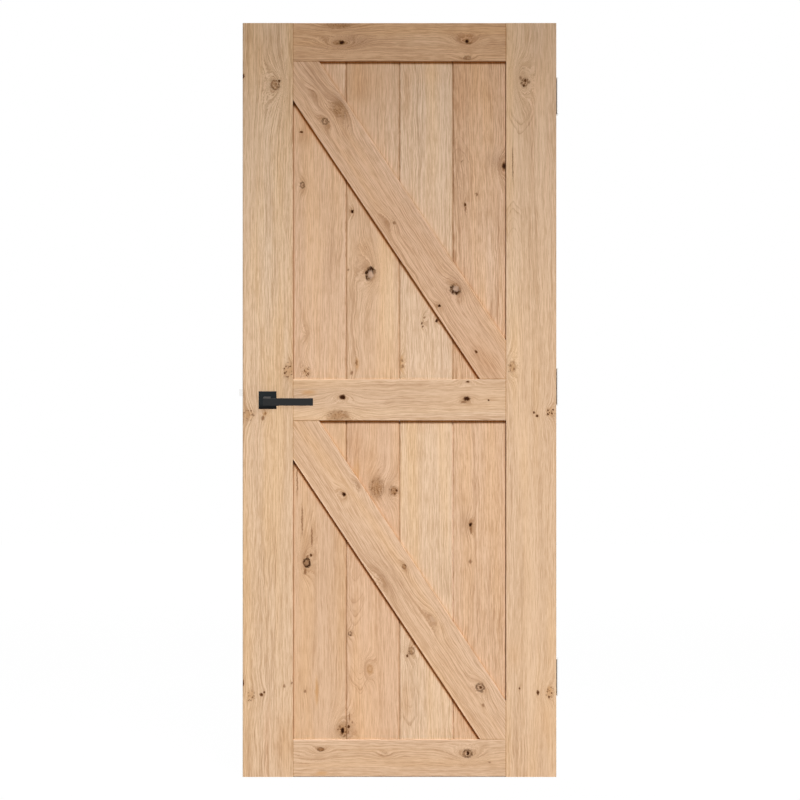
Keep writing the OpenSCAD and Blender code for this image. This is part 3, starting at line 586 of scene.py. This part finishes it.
def board_edges(f, colour, piece, across, depth, along, number):
    """Colour near a board's edges: painted shadow below the rail and the brace on the front face, painted
    shade in the joints and corners, and greyer painted shade at its foot.
    """
    field = field_of(piece)
    turn = field.brace_turn
    lane = (across + place_of(piece)[0]) * math.cos(turn) - along * math.sin(turn)
    # Painted shadow of the rail and of the brace's lower edge on the front face of the board
    painted_shadow = (field.half_h - along).least((lane + BRACE_HALF_W).of("ABSOLUTE")).step(*PAINTED_SHADOW_FADE)
    colour = f.tone(painted_shadow * depth.step(*PAINTED_SHADOW_DEPTH) * PAINTED_SHADOW_SHARE, colour, PAINTED_SHADOW_BROWN)

    # Painted shade in the V-grooves, in the corner by the lock stile and along the brace's upper edge
    sunk = (BOARD_HALF_T - depth.of("ABSOLUTE")).step(*GROOVE_FADE)
    hinge_edge = across.step(JOINT_FROM, JOINT_TO)
    lock_edge = across.step(-JOINT_FROM, -JOINT_TO)
    groove = sunk * GROOVE_SHARE
    if piece in ("upper_board_4", "lower_board_4", "lower_board_3"):
        groove = groove * (1 - hinge_edge)
    if piece == "lower_board_4":
        groove = groove * (1 - lock_edge)
    if piece.endswith("1"):
        corner = (across + BOARD_W / 2).step(*LOCK_SIDE_FADE)
        groove = groove.most(corner * corner * LOCK_SIDE_SHARE)
    brace_joint = (lane - BRACE_HALF_W).of("ABSOLUTE").step(*BRACE_JOINT_FADE)
    groove = groove.most(brace_joint * BRACE_JOINT_SHARE)
    uneven_line = f.noise_over(number, along * 45, 2, 0.6) + 0.5
    colour = f.tone(groove * uneven_line, colour, JOINT_AND_SHADE_BROWN)
    # Greyer painted shade at the foot, against the warm light the rail's ledge bounces up
    colour = f.tone((along + field.half_h).step(*FOOT_FADE), colour, FOOT_SHADE_GREY)

    # Painted light on the chamfers of the joint between the last two lower boards, so that joint shows pale
    lit_groove_edge = {"lower_board_3": hinge_edge, "lower_board_4": lock_edge}
    if piece in lit_groove_edge:
        colour = f.tone(sunk * lit_groove_edge[piece] * GROOVE_LIGHT_SHARE, colour, PAINTED_LIGHT_PALE)
    return colour


def brace_edges(f, colour, piece, across, place):
    """Painted highlights along a brace's long edges, and dust where its ends meet the frame."""
    field = field_of(piece)
    # Painted highlights along both long edges, stronger on the lower one
    lower_edge = (across + BRACE_HALF_W).step(*BRACE_HIGHLIGHT_FADE)
    upper_edge = (BRACE_HALF_W - across).step(*BRACE_HIGHLIGHT_FADE)
    painted_highlight = (lower_edge * LOWER_HIGHLIGHT_SHARE).most(upper_edge * UPPER_HIGHLIGHT_SHARE)
    colour = f.tone(painted_highlight, colour, PAINTED_LIGHT_PALE)
    door_x = f.split(place)
    door_z = door_x.other("Z")
    to_stile = FIELD_HALF_W - door_x.of("ABSOLUTE")
    to_rail = field.half_h - (door_z - field.centre_z).of("ABSOLUTE")
    return f.tone(to_stile.least(to_rail).step(*END_FADE) * END_SHARE, colour, JOINT_AND_SHADE_BROWN)


def rail_edges(f, colour, piece, across, along):
    """A painted highlight along a rail's top edge, and dust where its ends meet the stiles."""
    if piece in RAIL_TOPS:
        # Painted highlight along the top edge
        top_edge = (across + RAIL_TOPS[piece]).step(*RAIL_HIGHLIGHT_FADE)
        colour = f.tone(top_edge * RAIL_HIGHLIGHT_SHARE, colour, PAINTED_LIGHT_PALE)
    to_stile = FIELD_HALF_W - along.of("ABSOLUTE")
    return f.tone(to_stile.step(*END_FADE) * END_SHARE, colour, JOINT_AND_SHADE_BROWN)


def oak(piece, number):
    """Knotty oak whose rings and grain run through the solid, bent round the piece's own knots."""
    tone, (heart_x, heart_y, lean), grain = WOOD[piece]
    centre_x, centre_z, turn = place_of(piece)
    half_t = BOARD_HALF_T if "board" in piece else LEAF_HALF_T
    base = tinted(OAK, tone)
    f = new_finish("oak_" + piece)
    place = f.node("ShaderNodeTexCoord", out="Object")
    local = f.turned(place, (centre_x, 0, centre_z), turn)
    across = f.split(local)
    depth = across.other("Y")
    along = across.other("Z")
    shift = (number * 3.7, number * 1.9, number * 5.3)

    def cloud(stretch):
        """Slow noise through the piece, with its stretch across, through and along the grain."""
        return f.noise(f.vector("MULTIPLY_ADD", local, stretch, shift), 1, 2, 0.5)

    # Places of the knots, with uneven outlines, leaning through the thickness
    uneven = f.noise(f.vector("MULTIPLY_ADD", local, (1, 1, 0.8), shift), 190, 3, 0.65, out="Color")
    uneven = f.vector("MULTIPLY_ADD", uneven, (STRAY, 0, STRAY), (-STRAY / 2, 0, -STRAY / 2))
    sunk = depth + half_t
    leaning = f.join(across + sunk * LEAN_ACROSS, 0, along + sunk * LEAN_ALONG)
    flat = f.vector("ADD", leaning, uneven)
    calm = f.vector("MULTIPLY_ADD", uneven, (CALM, 0, CALM), leaning)
    knots = knot_layers(f, piece, flat, calm, shift)

    # Rings of the tree: distance from its heart, which wanders along the grain, wavier in some places
    slow = cloud((5, 5, 1.5)) - 0.5
    wave = cloud((24, 24, 14)) - 0.5
    figure = cloud((11, 11, 2.5)).step(0.36, 0.66)
    v = across + slow * 0.030 + wave * (0.0035 + figure * 0.011) - heart_x
    if "bend" in knots:
        v = v + knots["bend"]
    u = depth + along * lean + slow * 0.012 + heart_y
    rings = (v * v + u * u).of("SQRT")
    close = 0.0
    if "near" in knots:
        close = knots["near"]
        rings = rings + knots["swell"]
        figure = figure.most(close * 1.5)

    # Grain follows the rings: broad bands, fine streaks, short dashes of open pores, thin lines that wander
    broad = f.noise_over(rings * 24 + number, along * 0.7, 2, 0.5)
    streak = f.noise_over(rings * 330 + number * 7, along * 4.5, 3, 0.65)
    dash = f.noise_over(rings * 480 + number * 5, along * 24, 3, 0.7)
    hair = f.noise_over(rings * 170 + number * 9, along * 2.0, 1, 0.5)
    hair = (hair - 0.5).of("ABSOLUTE").step(close * 0.05 + 0.060, 0.0)
    vein = f.noise_over(rings * 75 + number * 4, along * 0.9, 1, 0.5)
    vein = (vein - 0.5).of("ABSOLUTE").step(close * 0.06 + 0.034, 0.0)
    late = 0.40 + (broad - 0.5) * 0.8 + ((streak - 0.5) * 2.4 + (dash - 0.5) * 3.2) * grain
    colour = f.mix(late, tinted(base, EARLY_WOOD), tinted(base, LATE_WOOD))
    lines = (hair * (0.10 + figure * 0.28)).most(vein * (0.08 + figure * 0.42)) * (0.45 + dash) * grain
    for arch in ARCHES.get(piece, []):
        lines = lines.most(arch_lines(f, arch, across, along, slow, wave, number) * (0.05 + dash * 0.85))
    colour = f.mix(lines, colour, tinted(base, LINE_WOOD))

    # Changes of hue and washes of tone
    hue = f.node("ShaderNodeValToRGB", {"stops": HUES}, {0: cloud((17, 17, 1.3))})
    colour = f.mix(1.0, colour, hue, "MULTIPLY")
    for kind, wash_x, wash_z, half_w, half_l in WASHES.get(piece, []):
        away = f.vector("SUBTRACT", local, (wash_x * MM, 0, wash_z * MM))
        colour = f.tone(f.bell(away, half_w * MM, half_l * MM), colour, WASH_KINDS[kind])

    # The knots, from the soft stain round them to their black cores
    broken = f.noise(f.vector("ADD", flat, shift), 120, 2, 0.6).step(0.38, 0.55)
    if "stain" in knots:
        colour = f.mix(knots["stain"] * (0.3 + streak), colour, STAIN_ORANGE)
    if "halo" in knots:
        colour = f.mix(knots["halo"] * (0.10 + streak * 1.2), colour, HALO_BROWN)
    if "fill" in knots:
        drawn = f.noise_over(rings * 120 + number, along * 9, 2, 0.6).step(0.40, 0.60)
        colour = f.mix(knots["fill"] * (0.35 + drawn * 0.5), colour, FILL_BROWN)
    if "pale" in knots:
        colour = f.mix(knots["pale"], colour, PALE_WOOD)
    if "pins" in knots:
        cells = f.node("ShaderNodeTexVoronoi", None, {"Vector": flat, "Scale": 190}, "Distance")
        chance = f.node("ShaderNodeSeparateColor", None, {0: cells.other("Color")}).step(0.25, 0.9)
        colour = f.mix(knots["pins"] * cells.step(0.55, 0.25) * chance, colour, PIN_BROWN)
    if "spot" in knots:
        colour = f.mix(knots["spot"], colour, SPOT_BROWN)
    if "ring" in knots:
        colour = f.mix(knots["ring"] * (0.45 + broken * 0.55), colour, RING_BROWN)
    if "core" in knots:
        colour = f.mix(knots["core"] * (0.75 + broken * 0.25), colour, CORE_BROWN)

    if "board" in piece:
        colour = board_edges(f, colour, piece, across, depth, along, number)
    elif "brace" in piece:
        colour = brace_edges(f, colour, piece, across, place)
    elif "rail" in piece:
        colour = rail_edges(f, colour, piece, across, along)

    # End grain is darker and drinks more oil
    facing = f.split(f.turned(place.other("Normal"), (0, 0, 0), turn), "Z")
    end = facing.of("ABSOLUTE").step(0.6, 0.9)
    pores = f.noise(local, 1400, 1, 0.5).step(0.60, 0.68)
    colour = f.mix(end * (0.35 + pores * 0.3), colour, tinted(base, END_WOOD))

    fibre = f.noise(f.vector("MULTIPLY", local, (900, 900, 24)), 1, 2, 0.6)
    return f.surface({
        "Base Color": colour, "Roughness": 0.52 + fibre * 0.16, "Specular IOR Level": 0.05,
        "Normal": f.bump(strength=0.35, distance=0.0004, height=fibre),
    })


# Painted highlight on what faces up, and painted light on the rose above a height
UPWARD_HIGHLIGHT_GREY = (0.11, 0.11, 0.112, 1)
ROSE_LIT_GREY = (0.11, 0.13, 0.14, 1)
ROSE_LIT_FADE = 0.012


def black_coat(name, colour, gloss, lit_from=None):
    """Matt black powder coat with a fine orange peel, a painted highlight on what faces up, and painted
    light above a height, which leaves what is below in painted shade.
    """
    f = new_finish(name)
    place = f.node("ShaderNodeTexCoord", out="Object")
    peel = f.noise(place, 1500, 3, 0.6)
    cloud = f.noise(place, 60, 2, 0.5)
    shade = f.mix(cloud, level(colour, 0.9), level(colour, 1.1))
    upward = f.split(place.other("Normal"), "Z")
    # Painted highlight on faces that point up
    shade = f.mix(upward.step(0.3, 0.9) * (0.2 + peel * 0.4), shade, UPWARD_HIGHLIGHT_GREY)
    if lit_from:
        # Painted light above a height, which leaves the part below in painted shade
        height = f.split(place, "Z")
        shade = f.mix(height.step(lit_from, lit_from + ROSE_LIT_FADE) * 0.11, shade, ROSE_LIT_GREY)
    return f.surface({
        "Base Color": shade, "Roughness": 0.42 + peel * 0.12, "Specular IOR Level": gloss,
        "Normal": f.bump(strength=0.25, distance=0.0002, height=peel),
    })


def satin_steel(name, colour, brush, rough, edge=None):
    """Brushed steel: brush stretches its scratches, edge is the colour of what faces front or back."""
    f = new_finish(name)
    place = f.node("ShaderNodeTexCoord", out="Object")
    scratch = f.noise(f.vector("MULTIPLY", place, brush), 1, 3, 0.65)
    cloud = f.noise(place, 35, 2, 0.5)
    shade = f.mix(scratch * 0.6 + cloud * 0.4, level(colour, 0.88), level(colour, 1.08))
    if edge:
        facing = f.split(place.other("Normal"), "Y")
        shade = f.mix(facing.of("ABSOLUTE").step(0.2, 0.6), shade, (*edge, 1))
    return f.surface({
        "Base Color": shade, "Metallic": 1.0, "Roughness": rough + scratch * 0.18,
        "Normal": f.bump(strength=0.2, distance=0.0001, height=scratch),
    })


def dress(name, material):
    nodes[name].data.materials.clear()
    nodes[name].data.materials.append(material)


# Finishes on the pieces
for number, piece in enumerate(WOOD, 1):
    dress(piece, oak(piece, number))

UPRIGHT_BRUSH = (2600, 2600, 30)
# Height on the rose below which it keeps its painted shade
ROSE_SHADE_Z = 1.036
steel_bright = satin_steel("bright_nickel", (0.93, 0.925, 0.91), UPRIGHT_BRUSH, 0.16)
steel_up = satin_steel("satin_nickel", (0.66, 0.65, 0.625), UPRIGHT_BRUSH, 0.22, (0.95, 0.945, 0.93))
steel_plain = satin_steel("zinc_plated", (0.55, 0.55, 0.55), (300, 300, 300), 0.32)
steel_dark = satin_steel("spring_wire", (0.32, 0.31, 0.30), (900, 900, 900), 0.30)
lever_coat = black_coat("lever_black", (0.0105, 0.0110, 0.0112), 0.22)
rose_coat = black_coat("rose_black", (0.0025, 0.0032, 0.0036), 0.10, ROSE_SHADE_Z)

FITTINGS = {
    steel_bright: ["latch_bolt"],
    steel_up: ["forend"] + [
        f"{height}_hinge_{part}" for height in ("top", "middle", "bottom")
        for part in ("door_plate", "frame_plate", "pin", "rings")
    ],
    steel_plain: [
        "forend_screws", "lock_case", "lock_cover", "cover_screws", "follower", "spindle", "front_rose_base",
        "back_rose_base", "rose_bolts", "hinge_screws", "grub_screws"
    ],
    steel_dark: ["latch_spring"],
    lever_coat: ["front_lever", "back_lever"],
    rose_coat: ["front_rose", "back_rose"],
}
for material, names in FITTINGS.items():
    for name in names:
        dress(name, material)

# The latch spring shortens as the latch draws back, so a coil of the same shape stands for the rigid node
MERGE_DISTANCE = 0.000001
coil_mesh = nodes["latch_spring"].data.copy()
wire = bmesh.new()
wire.from_mesh(coil_mesh)
bmesh.ops.remove_doubles(wire, verts=wire.verts, dist=MERGE_DISTANCE)
wire.to_mesh(coil_mesh)
wire.free()
coil = bpy.data.objects.new("latch_coil", coil_mesh)
scene.collection.objects.link(coil)
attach(coil, "leaf")
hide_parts("latch_spring")
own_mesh(coil)


# Studio: pale floor, white surroundings, key from the upper right, a light behind, a flag over the key
def plane(name, corners):
    mesh = bpy.data.meshes.new(name)
    mesh.from_pydata(corners, [], [(0, 1, 2, 3)])
    made = bpy.data.objects.new(name, mesh)
    scene.collection.objects.link(made)
    return made


def seen(finish):
    """1 for rays that show the surroundings, 0 for rays that light the door."""
    path = finish.node("ShaderNodeLightPath", out="Is Camera Ray")
    return path.most(path.other("Is Glossy Ray")).most(path.other("Is Transmission Ray"))


def sun(name, towards, strength, angle):
    lamp = bpy.data.lights.new(name, "SUN")
    lamp.energy = strength
    lamp.angle = math.radians(angle)
    made = bpy.data.objects.new(name, lamp)
    made.rotation_euler = Vector(towards).to_track_quat("Z", "Y").to_euler()
    scene.collection.objects.link(made)
    return made


WHITE = (1, 1, 1, 1)
FLOOR_GREY = (0.34, 0.34, 0.34, 1)
FLOOR_HALF = 12
FLOOR_Z = -0.0005
floor = plane("floor", [
    (-FLOOR_HALF, -FLOOR_HALF, FLOOR_Z), (FLOOR_HALF, -FLOOR_HALF, FLOOR_Z),
    (FLOOR_HALF, FLOOR_HALF, FLOOR_Z), (-FLOOR_HALF, FLOOR_HALF, FLOOR_Z),
])
paint = new_finish("studio_floor")
matt = paint.node("ShaderNodeBsdfDiffuse", None, {"Color": FLOOR_GREY})
glow = paint.node("ShaderNodeEmission", None, {"Color": WHITE, "Strength": 1.02})
blend = paint.node("ShaderNodeMixShader", None, {0: seen(paint) * 0.97, 1: matt, 2: glow})
paint.node("ShaderNodeOutputMaterial", None, {"Surface": blend})
floor.data.materials.append(paint.owner)

# The surroundings show white, but light the door at a lower level
SKY_LIGHT = 0.14
scene.world = bpy.data.worlds.new("studio")
air = Finish(scene.world)
shown = SKY_LIGHT + seen(air) * (1 - SKY_LIGHT)
sky = air.node("ShaderNodeBackground", None, {"Color": WHITE, "Strength": shown})
air.node("ShaderNodeOutputWorld", None, {"Surface": sky})

KEY_FROM = Vector((0.28, -1, 1.12)).normalized()
key = sun("key", KEY_FROM, strength=3.86, angle=15)
sun("back_light", (-0.5, 1, 0.7), strength=2.2, angle=20)

# The flag shades the top of the door softly and shows in no view
SHADE_FROM = Vector((0, -0.02, 2.12))
FLAG_AWAY = 5.4
FLAG_H = 3
FLAG_HALF_W = 4
edge = SHADE_FROM + KEY_FROM * FLAG_AWAY
rise = Vector((0, 0.62, 0.78)) * FLAG_H
side = Vector((FLAG_HALF_W, 0, 0))
flag = plane("flag", [edge - side, edge + side, edge + side + rise, edge - side + rise])
flag.visible_camera = False
flag.visible_diffuse = False
flag.visible_glossy = False
flag.visible_transmission = False

# The lever and rose throw no shadow of the key on the leaf
shy = bpy.data.collections.new("no_key_shadow")
for name in ("front_lever", "front_rose", "front_rose_base", "rose_bolts", "spindle", "grub_screws"):
    shy.objects.link(nodes[name])
key.light_linking.blocker_collection = shy
for entry in shy.collection_objects:
    entry.light_linking.link_state = "EXCLUDE"

# The camera looks square at the middle of the leaf
CAMERA_X = 0.0014
CAMERA_AWAY = 7.5
camera = bpy.data.objects.new("camera", bpy.data.cameras.new("camera"))
camera.data.sensor_width = 36
camera.data.lens = 120
camera.data.clip_end = 100
camera.location = (CAMERA_X, -CAMERA_AWAY, LEAF_MIDDLE_Z)
camera.rotation_euler = (math.radians(90), 0, 0)
scene.collection.objects.link(camera)
scene.camera = camera
